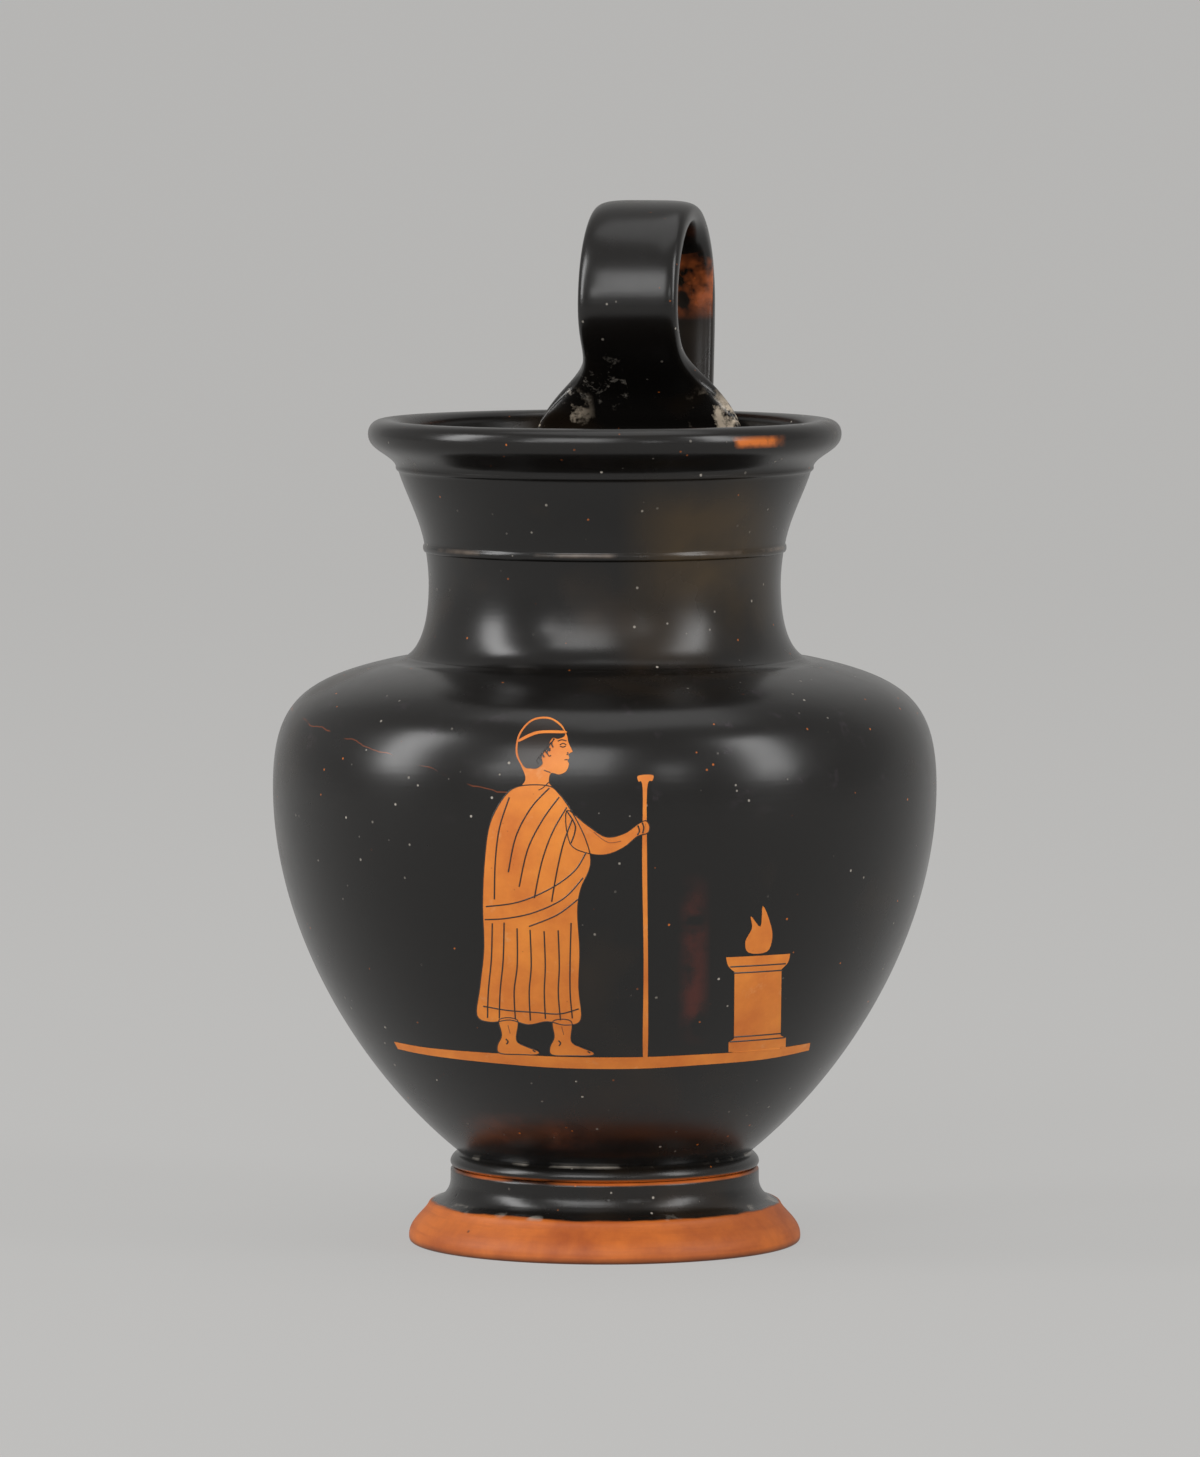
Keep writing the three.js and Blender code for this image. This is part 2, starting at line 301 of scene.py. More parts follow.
# Body
# The thrown bowl and low shoulder, hollow, 3.8 mm thick, black gloss outside.
# A thin smear of slip shows red-brown low on the bowl, and hairlines cross the shoulder.
VIEW = math.radians(12.4)
WALL = 3.8
body_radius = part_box("body")[1][0] / MM
neck_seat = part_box("body")[1][2] / MM
bowl_low = ring_high
widest = bowl_low + 69.6
shoulder_top = widest + 24.0
shoulder_edge = 41.2
bowl = cubic((27.95, bowl_low), (46.1, bowl_low + 14.7), (body_radius, widest - 28.0),
             (body_radius, widest), 52)
shoulder = cubic((body_radius, widest), (body_radius, widest + 15.6),
                 (58.23, shoulder_top - 3.72), (shoulder_edge, shoulder_top), 44)
shoulder += cubic((shoulder_edge, shoulder_top), (39.87, shoulder_top), (38.68, neck_seat - 0.68),
                  (37.7, neck_seat), 6)[1:]
outside = bowl + shoulder[1:]


def offset(points, distance):
    """A line of profile points moved inwards by the wall."""
    line = np.array(points)
    run = np.gradient(line, axis=0)
    run /= np.linalg.norm(run, axis=1)[:, None]
    return (line + np.stack([-run[:, 1], run[:, 0]], axis=1) * distance).tolist()


def body_finish():
    mat = Finish("body_finish", BLACK, 0.2)
    color, patches, pale = gloss_color(mat, 0.6)
    side = mat.x * math.cos(VIEW) + mat.y * math.sin(VIEW)
    front = mat.y < 0.0
    low = 1 - (mat.z - 24.5 * MM).math("ABSOLUTE").ramp(1.2 * MM, 4.2 * MM)
    across = 1 - (side + 13 * MM).math("ABSOLUTE").ramp(6 * MM, 15 * MM)
    smear = low * across * front * mat.noise(110, 4, 0.6).ramp(0.40, 0.62)
    color = mat.mix(smear * 0.75, color, (0.10, 0.028, 0.012))
    drop = 1 - (side - 16.5 * MM).math("ABSOLUTE").ramp(0.6 * MM, 3.2 * MM)
    band = mat.z.ramp(42 * MM, 50 * MM) * (1 - mat.z.ramp(66 * MM, 76 * MM))
    streak = drop * band * front * mat.noise(140, 4).ramp(0.40, 0.6)
    color = mat.mix(streak * 0.6, color, (0.11, 0.018, 0.010))
    # A faint purple tint in a band round the widest part is painted reflection, the glaze's bluish-pink
    # sheen put into its colour.
    painted_reflection = mat.noise(150, 5, 0.7).ramp(0.60, 0.75) * mat.z.ramp(84 * MM, 92 * MM)
    color = mat.mix(painted_reflection * 0.10, color, (0.25, 0.18, 0.24))
    wobble = mat.noise(120, 3) * 3 * MM
    crack = 1 - (mat.z - side * -0.28 - 87 * MM + wobble).math("ABSOLUTE").ramp(0.05 * MM, 0.16 * MM)
    crack = crack * (side < -16 * MM) * front * mat.noise(90, 2).ramp(0.44, 0.52)
    color = mat.mix(crack * 0.4, color, CLAY_DARK)
    mat.feed("Base Color", color)
    gloss_surface(mat, patches, pale)
    return mat.material


neck_bore = 33.5 - WALL
inside = [p for p in offset(outside, WALL) if p[0] > neck_bore + 0.8]
body_profile = [[0, foot_top + 0.02], [26.2, foot_top + 0.02], [26.2, bowl_low - 0.02], [27.6, bowl_low]]
body_profile += outside
body_profile += [[neck_bore, neck_seat], [neck_bore, neck_seat - 1.6]] + inside[::-1]
body_profile += [[inside[0][0] * 0.8, inside[0][1] - 0.6], [0, inside[0][1] - 0.6]]
body = thrown("body_dressed", body_profile, closed=False)
body.data.materials.append(body_finish())
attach(body, "root")
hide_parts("body")

# Neck
# A short thrown neck that turns tightly off the shoulder into a slender waist.
# Black gloss inside and out, browner towards the right where the fire reached it.
mouth_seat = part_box("neck")[1][2] / MM
neck_profile = [[neck_bore, neck_seat]]
neck_profile += cubic((37.7, neck_seat), (34.8, neck_seat + 1.96), (33.5, neck_seat + 7.0),
                      (33.5, neck_seat + 13.6), 30)
neck_profile += cubic((33.5, neck_seat + 13.6), (33.5, mouth_seat - 4), (33.7, mouth_seat - 2),
                      (34.0, mouth_seat), 8)[1:]
neck_profile += [[neck_bore, mouth_seat]]


def neck_finish(name):
    mat = Finish(name, BLACK, 0.2)
    color, patches, pale = gloss_color(mat)
    side = mat.x * math.cos(VIEW) + mat.y * math.sin(VIEW)
    right = side.ramp(2 * MM, 14 * MM) * (1 - side.ramp(26 * MM, 34 * MM)) * (mat.y < 0.0)
    height = mat.z.ramp(112 * MM, 122 * MM) * (1 - mat.z.ramp(140 * MM, 149 * MM))
    fired = right * height * mat.noise(40, 3, 0.6).ramp(0.30, 0.62)
    color = mat.mix(fired, color, (0.045, 0.027, 0.009))
    seam = (mat.z - 132.9 * MM).math("ABSOLUTE")
    line = (1 - seam.ramp(0.15 * MM, 0.55 * MM)) * mat.noise(75, 4, 0.6).ramp(0.45, 0.6)
    color = mat.mix(line * 0.6, color, (0.17, 0.13, 0.10))
    worn = (1 - (mat.z - 154.2 * MM).math("ABSOLUTE").ramp(0.3 * MM, 1.3 * MM))
    worn = worn * (1 - (side - 28 * MM).math("ABSOLUTE").ramp(3 * MM, 6 * MM)) * (mat.y < 0.0)
    color = mat.mix(worn * mat.noise(170, 4, 0.6).ramp(0.38, 0.55), color, CLAY)
    chips = mat.z.ramp(153 * MM, 154 * MM) * mat.specks(9 * MM, 0.9 * MM)
    chips = chips * mat.noise(60, 2).ramp(0.52, 0.6)
    color = mat.mix(chips * 0.8, color, (0.35, 0.13, 0.07))
    mat.feed("Base Color", color)
    gloss_surface(mat, patches, pale)
    return mat.material


neck = thrown("neck_dressed", neck_profile)
neck.data.materials.append(neck_finish("neck_finish"))
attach(neck, "root")
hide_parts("neck")

# Mouth
# A flaring cup joined at a fine raised seam, with a thin ridge under a thick round lip.
# The lip is rubbed through to orange clay in a streak and in small chips.
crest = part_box("mouth")[1][2] / MM
lip_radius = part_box("mouth")[1][0] / MM
lip_height = crest - 2.8
flare = cubic((34.35, mouth_seat + 1.75), (35.25, mouth_seat + 6.6), (37.8, mouth_seat + 11.0),
              (39.2, mouth_seat + 15.4), 22)
mouth_profile = [[neck_bore, mouth_seat], [34.0, mouth_seat]]
mouth_profile += cubic((34.2, mouth_seat + 0.1), (34.65, mouth_seat + 0.2), (34.7, mouth_seat + 1.3),
                       (34.4, mouth_seat + 1.55), 6)
mouth_profile += flare
mouth_profile += cubic((39.35, mouth_seat + 15.5), (39.75, mouth_seat + 15.7),
                       (39.8, mouth_seat + 16.2), (39.7, mouth_seat + 16.4), 4)
mouth_profile += cubic((39.85, mouth_seat + 16.8), (41.2, mouth_seat + 18.9),
                       (lip_radius, lip_height - 2.9), (lip_radius, lip_height), 14)
mouth_profile += cubic((lip_radius, lip_height), (lip_radius, lip_height + 1.9),
                       (lip_radius - 1.4, crest), (lip_radius - 3.0, crest), 12)[1:]
mouth_profile += cubic((lip_radius - 3.0, crest), (lip_radius - 5.2, crest),
                       (lip_radius - 6.2, crest - 1.2), (lip_radius - 6.6, crest - 2.6), 10)[1:]
mouth_profile += offset(flare, WALL)[::-1]
mouth = thrown("mouth_dressed", mouth_profile)
mouth.data.materials.append(neck_finish("mouth_finish"))
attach(mouth, "root")
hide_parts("mouth")

# Handle
# A pulled strap, pressed wide and thin inside the lip, looped high and dropped to the shoulder.
# It is luted on and smoothed in, so both roots sink into the clay they join.
STRAP_HALF = 9.7
STRAP_THICK = 5.0
loop_y, loop_z, loop_r = 38.1, crest + 20.6, 17.6
root_y, root_z = lip_radius - 8.1, crest - 5.5
up = cubic((root_y, root_z), (root_y + 2.6, crest + 6), (loop_y - loop_r, loop_z - 10.6),
           (loop_y - loop_r, loop_z), 60)
over = [[loop_y - loop_r * math.cos(a), loop_z + loop_r * math.sin(a)]
        for a in np.linspace(0, math.pi, 80)]
down = cubic((loop_y + loop_r, loop_z), (loop_y + loop_r, loop_z - 13.6), (49.5, crest - 11),
             (53.6, shoulder_top - 9.0), 90)
strap_line = np.array(up[:-1] + over + down[1:])
strap_run = np.concatenate([[0], np.cumsum(np.linalg.norm(np.diff(strap_line, axis=0), axis=1))])
strap_length = strap_run[-1]


def smooth_step(value, low, high):
    t = min(max((value - low) / (high - low), 0), 1)
    return t * t * (3 - 2 * t)


def strap_point(angle, far):
    """Where a point of the strap's rounded section lies, far along the centre line."""
    y, z = (np.interp(far, strap_run, strap_line[:, i]) for i in (0, 1))
    ahead, behind = min(far + 0.5, strap_length), max(far - 0.5, 0)
    run = [np.interp(ahead, strap_run, strap_line[:, i]) - np.interp(behind, strap_run, strap_line[:, i])
           for i in (0, 1)]
    size = math.hypot(*run)
    run = [run[0] / size, run[1] / size]
    to_lip = (1 - smooth_step(far, 0, 26)) ** 1.6
    to_shoulder = (1 - smooth_step(strap_length - far, 0, 22)) ** 1.6
    half = STRAP_HALF + 10.8 * to_lip + 3.8 * to_shoulder
    thick = STRAP_THICK / 2 * (0.5 + 0.5 * smooth_step(far, 0, 6)) * (1 + 0.25 * to_shoulder)
    c, s = math.cos(angle), math.sin(angle)
    across = half * math.copysign(abs(c) ** 0.5, c)
    off = thick * math.copysign(abs(s) ** 0.6, s)
    wrap = 1 - smooth_step(far, 5, 17)
    bend = wrap * (y - math.sqrt(max(y * y - across * across, 1)))
    return across * MM, (y + run[1] * off - bend) * MM, (z - run[0] * off) * MM


def handle_finish():
    mat = Finish("handle_finish", BLACK, 0.24)
    color, patches, pale = gloss_color(mat, 0.8)
    inner = (mat.y > 50 * MM) * (mat.y < 54.6 * MM)
    patch = 1 - (mat.z - 181 * MM).math("ABSOLUTE").ramp(2.5 * MM, 7 * MM)
    bare = inner * patch * mat.noise(90, 4, 0.6).ramp(0.40, 0.52)
    color = mat.mix(bare, color, (0.42, 0.10, 0.025))
    low = (1 - mat.z.ramp(157.5 * MM, 162 * MM)) * (mat.z > 154 * MM)
    chips = low * mat.noise(170, 5, 0.65).ramp(0.52, 0.60)
    side = mat.x.math("ABSOLUTE").ramp(9 * MM, 14 * MM)
    color = mat.mix(chips * side, color, (0.62, 0.52, 0.40))
    rub = (1 - (mat.z - 163 * MM).math("ABSOLUTE").ramp(2 * MM, 6 * MM)) * (mat.x < -2 * MM)
    rub = rub * mat.noise(420, 5, 0.7).ramp(0.55, 0.66) * (mat.y < 40 * MM)
    color = mat.mix(rub * 0.55, color, CHALK)
    mat.feed("Base Color", color)
    gloss_surface(mat, patches, pale)
    return mat.material


STRAP_SIDES = 40
STRAP_RINGS = 150
deselect()
bpy.ops.mesh.primitive_circle_add(vertices=STRAP_SIDES, radius=1, fill_type="NGON")
handle = fresh_object("handle_dressed")
bpy.ops.object.mode_set(mode="EDIT")
bpy.ops.mesh.select_all(action="SELECT")
for _ in range(STRAP_RINGS):
    bpy.ops.mesh.extrude_region_move(TRANSFORM_OT_translate={"value": (0, 0, 1)})
bpy.ops.object.mode_set(mode="OBJECT")
for vertex in handle.data.vertices:
    turn = math.atan2(vertex.co.y, vertex.co.x)
    vertex.co = strap_point(turn, strap_length * round(vertex.co.z) / STRAP_RINGS)
bpy.ops.object.mode_set(mode="EDIT")
bpy.ops.mesh.select_all(action="SELECT")
bpy.ops.mesh.normals_make_consistent(inside=False)
bpy.ops.object.mode_set(mode="OBJECT")
bpy.ops.object.shade_smooth_by_angle(angle=math.radians(50))
handle.data.materials.append(handle_finish())
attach(handle, "root")
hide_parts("handle")

# Painted scene
# The figure is clay left bare when the ground round it was painted black.
# Each bare shape is a thin skin on the bowl, a few hundredths of a millimetre proud.
GROUND = 40.6
bowl_line = np.array(outside)


def on_bowl(across, height, proud):
    """A point of the flat drawing carried to the bowl, in front of the viewer."""
    radius = np.interp(height, bowl_line[:, 1], bowl_line[:, 0]) + proud
    angle = VIEW + math.asin(max(min(across / radius, 0.97), -0.97))
    return radius * math.sin(angle) * MM, -radius * math.cos(angle) * MM, height * MM


def rounded(points, steps=5, closed=True):
    """A smooth line through the points; a point given twice stays a corner."""
    count = len(points)
    line = []
    for i in range(count if closed else count - 1):
        pick = [points[(i + k) % count] if closed else points[min(max(i + k, 0), count - 1)]
                for k in (-1, 0, 1, 2)]
        a, b, c, d = (np.array(p, float) for p in pick)
        if np.allclose(b, c):
            continue
        for t in np.linspace(0, 1, steps, endpoint=False):
            line.append(0.5 * (2 * b + (c - a) * t + (2 * a - 5 * b + 4 * c - d) * t * t
                               + (3 * b - a - 3 * c + d) * t ** 3))
    if not closed:
        line.append(np.array(points[-1], float))
    return line


SCALE = 1.04


def shifted(points, aside):
    return [(u + aside, v * SCALE) for u, v in points]


def drawn_curve(name, lines, closed):
    data = bpy.data.curves.new(name, "CURVE")
    data.dimensions = "2D" if closed else "3D"
    for line in lines:
        spline = data.splines.new("POLY")
        spline.points.add(len(line) - 1)
        for point, (u, v) in zip(spline.points, line):
            point.co = (u, v, 0, 1)
        spline.use_cyclic_u = closed
    drawn = bpy.data.objects.new(name, data)
    bpy.context.scene.collection.objects.link(drawn)
    deselect()
    drawn.select_set(True)
    bpy.context.view_layer.objects.active = drawn
    return drawn


def bare_shape(name, outlines, proud=0.05, finish=None):
    """Fills the outlines, cuts them into small squares and lays them on the bowl as bare clay."""
    drawn = drawn_curve(name, outlines, True)
    drawn.data.fill_mode = "BOTH"
    bpy.ops.object.convert(target="MESH")
    bpy.ops.object.mode_set(mode="EDIT")
    us = [p[0] for line in outlines for p in line]
    vs = [p[1] for line in outlines for p in line]
    for low, high, normal in ((min(us), max(us), (1, 0, 0)), (min(vs), max(vs), (0, 1, 0))):
        for cut in np.arange(low + 0.4, high, 1.1):
            bpy.ops.mesh.select_all(action="SELECT")
            bpy.ops.mesh.bisect(plane_co=(cut, cut, 0), plane_no=normal)
    bpy.ops.object.mode_set(mode="OBJECT")
    lay(drawn, proud)
    thicken = drawn.modifiers.new("skin", "SOLIDIFY")
    thicken.thickness = 0.12 * MM
    thicken.offset = -1
    bpy.ops.object.modifier_apply(modifier="skin")
    finish_painted(drawn, finish or bare_clay)


def relief_lines(name, lines, width, proud, finish=None):
    """Thread-thin raised lines, laid on the bowl like the shapes."""
    drawn = drawn_curve(name, lines, False)
    drawn.data.bevel_depth = width / 2
    drawn.data.bevel_resolution = 1
    drawn.data.use_fill_caps = True
    bpy.ops.object.convert(target="MESH")
    lay(drawn, proud)
    finish_painted(drawn, finish or relief_black)


def lay(drawn, proud):
    for vertex in drawn.data.vertices:
        u, v, w = vertex.co
        vertex.co = on_bowl(u, GROUND + v, proud + w * 0.5)


def finish_painted(drawn, finish):
    bpy.ops.object.mode_set(mode="EDIT")
    bpy.ops.mesh.select_all(action="SELECT")
    bpy.ops.mesh.remove_doubles(threshold=1e-6)
    bpy.ops.mesh.select_all(action="SELECT")
    bpy.ops.mesh.normals_make_consistent(inside=False)
    bpy.ops.object.mode_set(mode="OBJECT")
    bpy.ops.object.shade_smooth_by_angle(angle=math.radians(35))
    drawn.data.materials.append(finish)
    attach(drawn, "root")


def bare_clay_finish():
    mat = Finish("bare_clay", CLAY, 0.42)
    wash = mat.noise(95, 5, 0.6)
    color = mat.mix(wash.ramp(0.35, 0.72), (0.84, 0.265, 0.032), (0.62, 0.15, 0.018))
    rubbed = mat.noise(240, 5, 0.7).ramp(0.60, 0.72)
    color = mat.mix(rubbed * 0.45, color, (0.80, 0.40, 0.16))
    pits = mat.specks(2.6 * MM, 0.18 * MM)
    mat.feed("Base Color", mat.mix(pits * 0.5, color, CLAY_DARK))
    mat.feed("Roughness", 0.36 + wash * 0.18)
    mat.bump(mat.noise(1100, 4), 0.03 * MM, 0.5)
    return mat.material


def line_finish(name, color):
    mat = Finish(name, color, 0.28)
    mat.feed("Base Color", mat.mix(mat.noise(260, 3), color, tuple(c * 2.2 for c in color)))
    return mat.material


bare_clay = bare_clay_finish()
relief_black = line_finish("relief_black", (0.012, 0.008, 0.006))
thin_brown = line_finish("thin_brown", (0.20, 0.055, 0.014))

ground_line = [(-39.6, 0.5), (-39.6, 0.5), (-33, 0.1), (-20, 0.0), (-8, -0.25), (6, -0.3), (18, -0.1),
               (30, 0.0), (38.6, 0.4), (38.6, 0.4), (38.4, -1.1), (38.4, -1.1), (30, -1.9), (18, -2.2),
               (6, -2.6), (-8, -2.5), (-20, -2.0), (-33, -1.4), (-38.9, -0.9), (-38.9, -0.9)]
head = [(-6.2, 52.6), (-7.4, 55.2), (-6.9, 58.4), (-4.6, 60.9), (-1.4, 61.4), (1.0, 60.2), (2.05, 58.3),
        (2.3, 57.2), (3.1, 55.6), (3.1, 55.6), (2.3, 55.1), (2.45, 54.5), (2.15, 54.0), (2.4, 53.4),
        (1.9, 52.2), (0.6, 51.6), (-0.9, 51.8), (-1.3, 50.2), (-0.6, 48.6), (-6.6, 48.4), (-5.6, 50.6)]
mantle = [(-6.8, 49.4), (-9.6, 47.4), (-12.2, 42.6), (-13.2, 36.0), (-13.6, 28.0), (-13.4, 20.0),
          (-14.2, 12.6), (-14.8, 7.2), (-12.2, 6.0), (-8.6, 6.6), (-5.2, 5.8), (-1.6, 6.5), (1.8, 5.9),
          (4.6, 7.0), (4.2, 13.0), (4.4, 20.0), (4.0, 27.0), (4.6, 31.2), (6.4, 35.6), (5.6, 39.8),
          (3.2, 44.6), (0.6, 48.2), (-1.6, 49.6)]
arm = [(2.0, 45.2), (5.6, 42.8), (9.2, 40.6), (12.6, 41.2), (15.2, 42.9), (16.6, 43.4), (17.3, 42.4),
       (16.9, 41.2), (15.0, 40.6), (12.6, 38.7), (9.4, 37.4), (6.0, 37.6), (2.6, 39.4)]
back_foot = [(-10.6, 6.6), (-10.2, 3.6), (-11.0, 1.6), (-10.6, 0.1), (-7.0, 0.0), (-3.6, 0.1),
             (-3.4, 0.8), (-5.6, 1.6), (-7.4, 2.8), (-7.2, 6.6)]
front_foot = [(-0.6, 6.6), (-0.4, 3.6), (-1.2, 1.6), (-0.8, 0.1), (3.0, 0.0), (6.6, 0.1), (6.8, 0.8),
              (4.6, 1.7), (2.8, 2.9), (2.8, 6.6)]
staff = [(16.1, 0.2), (16.2, 18.0), (15.9, 36.0), (16.0, 49.0), (15.2, 50.4), (15.2, 51.4),
         (17.8, 51.5), (17.8, 50.5), (16.8, 49.0), (16.8, 36.0), (17.0, 18.0), (17.0, 0.2)]
altar = [[(24.6, 0.1), (24.6, 0.1), (24.6, 2.0), (24.6, 2.0), (25.6, 2.6), (25.6, 2.6), (25.6, 15.4),
         (25.6, 15.4), (24.4, 16.6), (24.0, 18.2), (24.0, 18.2), (36.0, 18.2), (36.0, 18.2),
         (35.6, 16.6), (34.4, 15.4), (34.4, 15.4), (34.4, 2.6), (34.4, 2.6), (35.4, 2.0), (35.4, 2.0),
         (35.4, 0.1), (35.4, 0.1)],
         [(28.2, 18.9), (27.6, 21.0), (28.8, 23.4), (28.6, 25.6), (30.4, 23.6), (30.8, 27.4),
         (32.2, 24.2), (32.6, 21.4), (31.6, 18.9)]]
FIGURE_AT = -9.0
ALTAR_AT = -1.5


def figure_shape(points, steps=5):
    return rounded(shifted(points, FIGURE_AT), steps)


def open_lines(lines, steps):
    """Drawn strokes: those of the altar lie right of the figure's."""
    placed = [shifted(line, FIGURE_AT if line[0][0] < 20 else ALTAR_AT) for line in lines]
    return [rounded(line, steps, closed=False) for line in placed]


bare_shape("ground_line", [rounded(ground_line)])
bare_shape("figure_head", [figure_shape(head, 6)])
bare_shape("figure_feet", [figure_shape(back_foot), figure_shape(front_foot)])
bare_shape("figure_arm", [figure_shape(arm)])
bare_shape("figure_mantle", [figure_shape(mantle)], 0.07)
bare_shape("staff", [figure_shape(staff)])
bare_shape("altar", [rounded(shifted(line, ALTAR_AT), 4) for line in altar])

# Hair and relief lines
# The hair is a cap of black with a bare edge left round it and a bare band tied across it.
# Folds, features and edges are lines of thick slip drawn with a fine tool, standing up a little.
hair = [(-5.9, 52.9), (-7.05, 55.3), (-6.6, 58.3), (-4.45, 60.65), (-1.4, 61.1), (0.75, 60.0),
        (1.7, 58.5), (0.5, 57.8), (-0.6, 57.9), (-1.3, 56.8), (-1.2, 55.6), (-2.0, 55.9), (-2.6, 54.6),
        (-2.5, 53.4), (-3.6, 52.6), (-4.8, 52.6)]
bare_shape("hair", [figure_shape(hair)], 0.12, relief_black)
band = [(-6.75, 57.2), (-3.2, 58.6), (1.5, 58.75), (1.45, 59.15), (-3.4, 59.05), (-6.6, 57.7)]
bare_shape("hair_band", [figure_shape(band)], 0.17)
curls = []
for k in range(6):
    edge = -0.3 - 0.55 * k
    curls.append([(edge, 57.8 - 0.62 * k), (edge - 0.5, 57.0 - 0.60 * k), (edge - 0.2, 56.3 - 0.58 * k)])
relief_lines("hair_curls", open_lines(curls, 4), 0.24, 0.12)
features = [
    [(0.35, 57.35), (1.1, 57.6), (1.95, 57.4)],
    [(0.7, 56.7), (1.3, 57.0), (1.9, 56.75)],
    [(0.75, 56.5), (1.3, 56.35), (1.85, 56.55)],
    [(2.0, 55.05), (2.25, 55.25), (2.15, 55.5)],
    [(1.6, 54.15), (2.2, 54.2)],
    [(-1.0, 56.1), (-1.6, 55.6), (-1.3, 54.8), (-0.9, 54.9)],
    [(-1.0, 51.9), (-2.2, 52.3)],
    [(-1.3, 50.2), (-2.4, 49.2), (-3.2, 48.8)],
]
folds = [
    [(-1.2, 49.2), (-4.6, 45.6), (-7.4, 40.4), (-8.8, 34.0)],
    [(0.6, 47.6), (-2.4, 43.6), (-5.2, 38.2), (-6.8, 31.4)],
    [(2.0, 45.8), (-0.6, 41.4), (-2.6, 36.0), (-4.0, 29.4)],
    [(3.0, 43.6), (1.4, 39.4), (0.2, 34.4), (-0.8, 28.8)],
    [(-8.6, 47.4), (-10.4, 42.0), (-11.2, 36.0), (-11.4, 29.0)],
    [(5.6, 37.8), (3.4, 34.4), (-1.0, 31.2), (-7.0, 28.6), (-13.0, 27.6)],
    [(5.0, 33.2), (1.4, 29.4), (-4.0, 26.8), (-9.0, 25.6), (-13.2, 25.2)],
    [(4.2, 29.4), (0.2, 26.4), (-5.0, 24.2)],
    [(-11.8, 24.6), (-12.0, 18.0), (-12.6, 12.0), (-12.8, 6.8)],
    [(-9.6, 24.8), (-9.8, 18.0), (-10.4, 12.0), (-10.6, 6.8)],
    [(-7.2, 23.8), (-7.2, 17.0), (-7.8, 12.0), (-7.6, 6.8)],
    [(-4.8, 23.6), (-4.6, 17.0), (-5.0, 12.0), (-4.8, 6.6)],
    [(-2.2, 23.4), (-2.0, 17.0), (-2.2, 12.0), (-2.0, 7.0)],
    [(0.4, 23.6), (0.6, 17.0), (0.4, 12.0), (0.8, 6.8)],
    [(2.8, 25.0), (2.6, 18.0), (2.6, 12.0), (3.0, 7.2)],
    [(-13.6, 9.0), (-9.0, 8.4), (-4.0, 8.2), (0.6, 8.0), (4.2, 9.0)],
    [(2.0, 45.2), (3.6, 42.4), (2.8, 39.4)],
    [(15.1, 42.6), (15.4, 41.6), (15.0, 40.9)],
    [(15.9, 43.1), (16.2, 42.2), (16.0, 41.2)],
    [(-9.4, 2.9), (-9.0, 2.4), (-9.3, 1.9)],
    [(0.4, 2.9), (0.8, 2.4), (0.5, 1.9)],
    [(-4.4, 0.9), (-3.9, 0.6)],
    [(5.8, 0.9), (6.3, 0.6)],
    [(24.8, 2.1), (35.2, 2.1)],
    [(25.6, 3.0), (34.4, 3.0)],
    [(25.4, 15.2), (34.6, 15.2)],
    [(24.8, 16.4), (35.2, 16.4)],
]
edges = [figure_shape(shape) for shape in (mantle, arm, back_foot, front_foot)]
for edge in edges:
    edge.append(edge[0])
relief_lines("face_lines", open_lines(features, 6), 0.19, 0.06)
relief_lines("fold_lines", open_lines(folds, 6), 0.26, 0.08)
relief_lines("edge_lines", edges, 0.22, 0.06)
muscles = [[(7.0, 41.4), (9.6, 39.6), (12.0, 39.8)], [(-9.0, 5.6), (-8.6, 4.0)], [(1.0, 5.6), (1.4, 4.0)]]
relief_lines("muscle_lines", open_lines(muscles, 5), 0.16, 0.06, thin_brown)

# Studio
# A pale grey sweep under tall soft boxes at the sides and broad ones in front and overhead.
# The sweep glows a little to the camera and in reflections, so that it stays an even grey.
deselect()
bpy.ops.mesh.primitive_plane_add(size=9, location=(0, 0, 0))
sweep = fresh_object("studio_floor")
bpy.ops.object.mode_set(mode="EDIT")
bpy.ops.mesh.select_all(action="DESELECT")
form = bmesh.from_edit_mesh(sweep.data)
for edge in form.edges:
    edge.select_set(all(v.co.y > 4 for v in edge.verts))
bmesh.update_edit_mesh(sweep.data)
bpy.ops.mesh.extrude_region_move(TRANSFORM_OT_translate={"value": (0, 0, 5)})
bpy.ops.object.mode_set(mode="OBJECT")
bend = sweep.modifiers.new("sweep", "BEVEL")
bend.width = 2.5
bend.segments = 24
bpy.ops.object.modifier_apply(modifier="sweep")
bpy.ops.object.shade_smooth()
GREY = (0.52, 0.515, 0.505)
floor = Finish("studio_grey", GREY, 0.9)
light_path = floor.tree.nodes.new("ShaderNodeLightPath").outputs
seen = Wire(floor, light_path["Is Camera Ray"]) + Wire(floor, light_path["Is Glossy Ray"])
seen = (seen + Wire(floor, light_path["Is Transmission Ray"])).clamp()
glow = floor.tree.nodes.new("ShaderNodeEmission")
glow.inputs["Color"].default_value = (*GREY, 1)
blend = floor.tree.nodes.new("ShaderNodeMixShader")
floor.put(seen * 0.8, blend.inputs[0])
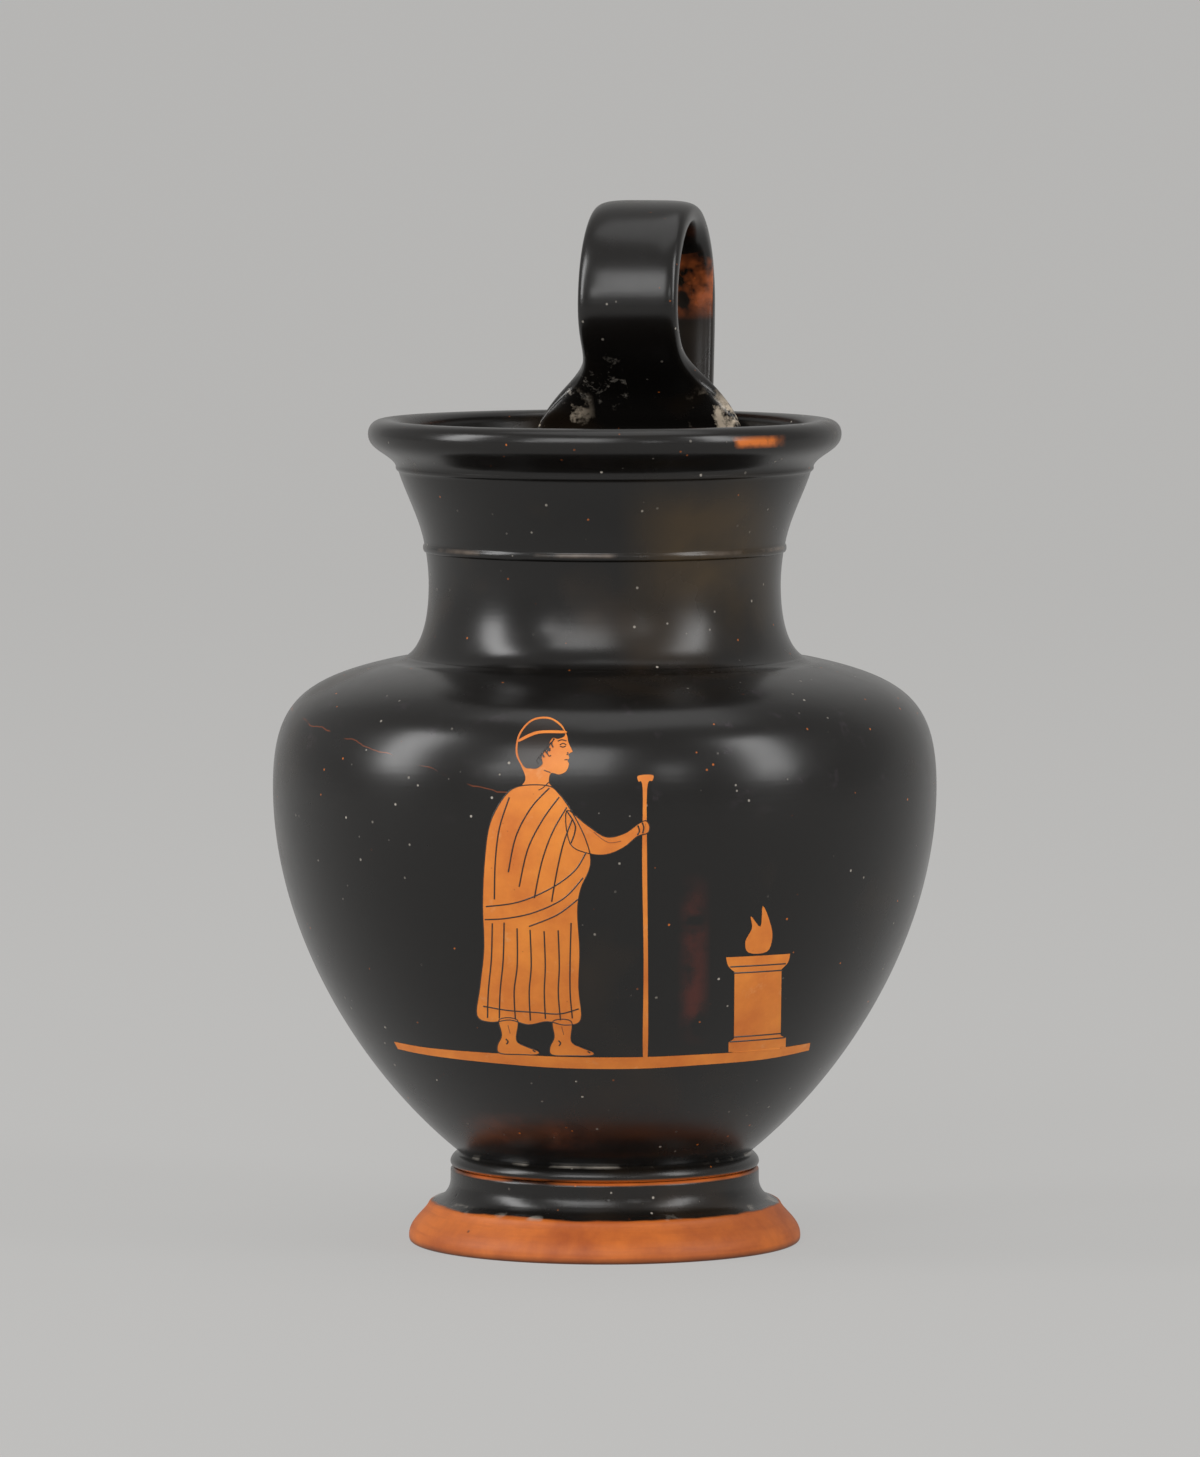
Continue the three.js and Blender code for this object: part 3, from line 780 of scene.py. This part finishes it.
floor.tree.links.new(floor.shader.outputs[0], blend.inputs[1])
floor.tree.links.new(glow.outputs[0], blend.inputs[2])
floor.tree.links.new(blend.outputs[0], floor.tree.nodes["Material Output"].inputs["Surface"])
sweep.data.materials.append(floor.material)

world = bpy.data.worlds.new("studio")
bpy.context.scene.world = world
world.use_nodes = True
world.node_tree.nodes["Background"].inputs["Color"].default_value = (0.50, 0.495, 0.49, 1)
world.node_tree.nodes["Background"].inputs["Strength"].default_value = 0.75


def soft_box(name, place, width, height, watts, aim=(0, 0, 0.09)):
    data = bpy.data.lights.new(name, "AREA")
    data.shape = "RECTANGLE"
    data.size, data.size_y, data.energy = width, height, watts
    lamp = bpy.data.objects.new(name, data)
    lamp.location = place
    lamp.rotation_euler = (Vector(aim) - Vector(place)).to_track_quat("-Z", "Y").to_euler()
    bpy.context.scene.collection.objects.link(lamp)


soft_box("left_box", (-1.5, -0.7, 0.9), 0.5, 1.2, 14)
soft_box("right_box", (1.6, -0.5, 0.9), 0.5, 1.2, 11)
soft_box("front_box", (-0.2, -3.2, 1.7), 2.2, 1.6, 40)
soft_box("small_left", (-0.95, -2.1, 0.75), 0.22, 0.3, 1.6)
soft_box("small_right", (1.35, -1.9, 0.75), 0.22, 0.3, 1.4)
soft_box("top_box", (0.1, 0.1, 2.4), 1.8, 1.8, 9)

# Camera at the photograph's place: a long lens, a little above the jug.
camera_data = bpy.data.cameras.new("camera")
camera_data.sensor_fit = "VERTICAL"
camera_data.sensor_height = 36
camera_data.lens = 242.4
camera = bpy.data.objects.new("camera", camera_data)
distance, camera_height, aim_height, aim_left = 1863 * MM, 240 * MM, 98 * MM, 0.9 * MM
camera.location = (distance * math.sin(VIEW), -distance * math.cos(VIEW), camera_height)
aim = Vector((-aim_left * math.cos(VIEW), -aim_left * math.sin(VIEW), aim_height))
camera.rotation_euler = (aim - camera.location).to_track_quat("-Z", "Y").to_euler()
bpy.context.scene.collection.objects.link(camera)
bpy.context.scene.camera = camera
bpy.context.scene.view_settings.view_transform = "Standard"
